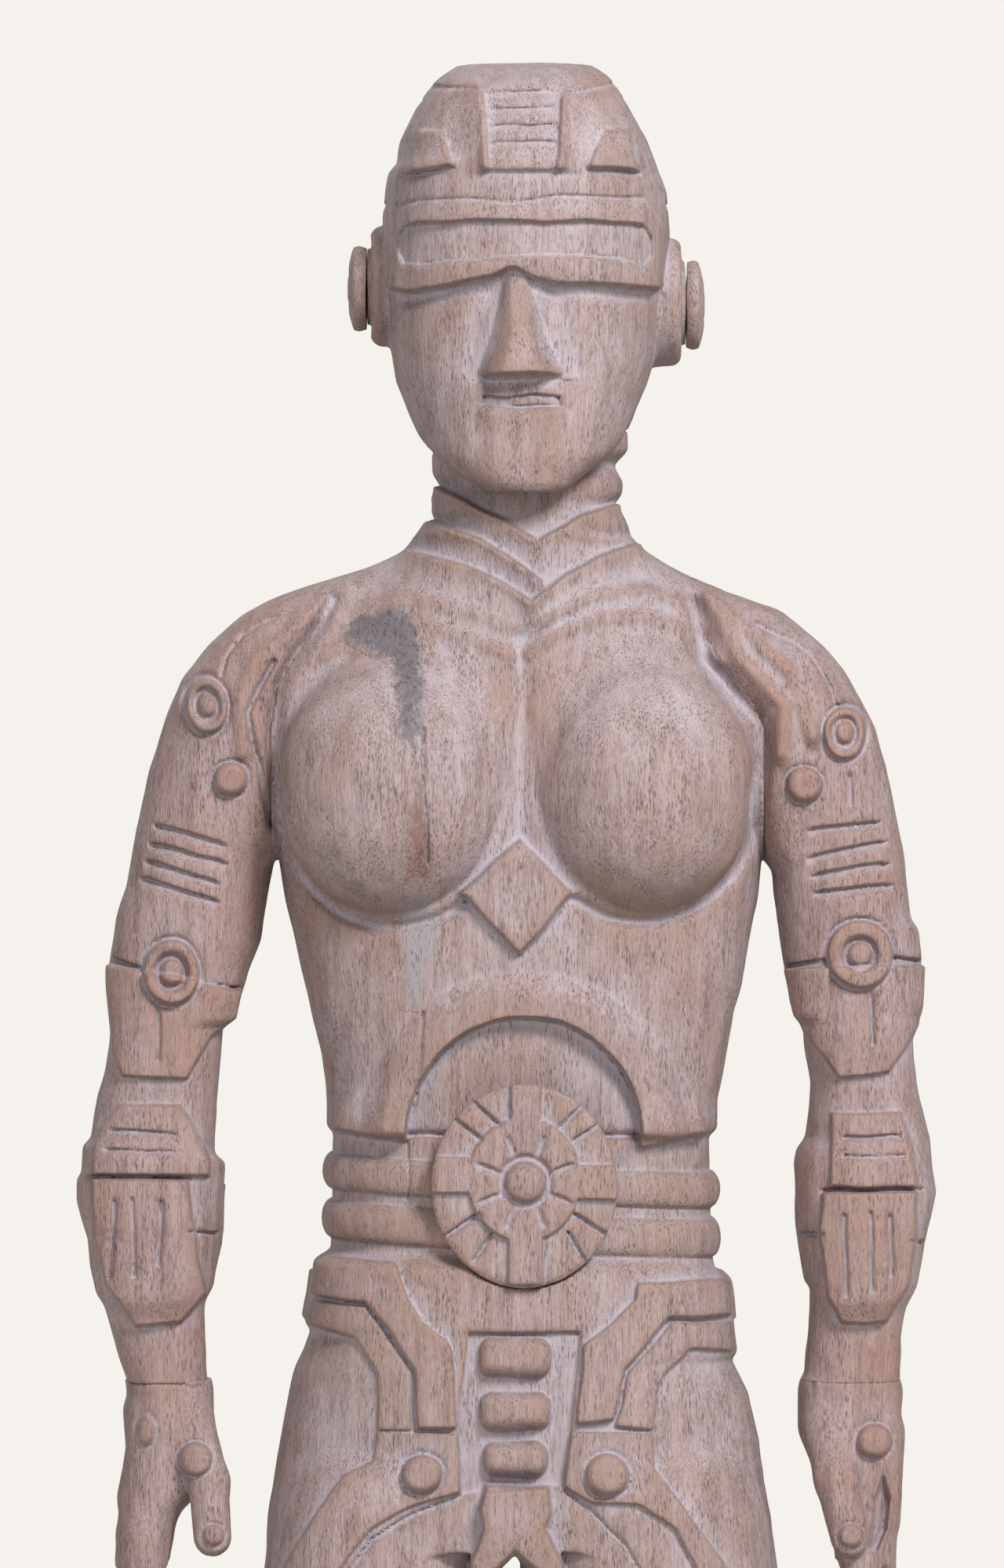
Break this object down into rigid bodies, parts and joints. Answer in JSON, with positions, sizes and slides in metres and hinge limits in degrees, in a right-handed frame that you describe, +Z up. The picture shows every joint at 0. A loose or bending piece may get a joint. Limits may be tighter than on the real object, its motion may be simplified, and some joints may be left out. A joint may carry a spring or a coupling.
{
  "type": "carved wooden robot figure",
  "caption": "Standing helmeted robot figure carved in limed hardwood, with armour-like relief, arms at its sides and a rectangular plinth.",
  "frame": {"origin": "centre of the plinth's underside, on the surface that the figure stands on", "axes": "+Z up, the figure faces -Y, and its own left side is +X"},
  "size_m": [0.2206, 0.126, 0.7],
  "materials": {
    "limed_wood": "matt, limed in the hollows",
    "worn_wood": "matt, rubbed on the highs",
    "dowel_wood": "bare, planed",
    "putty": "matt filler"
  },
  "bodies": {
    "root": {"trunk": "limed_wood", "head": "limed_wood", "neck_dowel": "dowel_wood", "chest_check_filler": "putty", "belt_medallion": "limed_wood", "medallion_peg": "dowel_wood", "plinth": "limed_wood", "right_arm": "worn_wood", "right_shoulder_dowel": "dowel_wood", "right_hand": "worn_wood", "right_wrist_dowel": "dowel_wood", "right_ear_disc": "limed_wood", "right_ear_peg": "dowel_wood", "right_foot_dowel": "dowel_wood", "left_arm": "worn_wood", "left_shoulder_dowel": "dowel_wood", "left_hand": "worn_wood", "left_wrist_dowel": "dowel_wood", "left_ear_disc": "limed_wood", "left_ear_peg": "dowel_wood", "left_foot_dowel": "dowel_wood"}
  },
  "joints": []
}
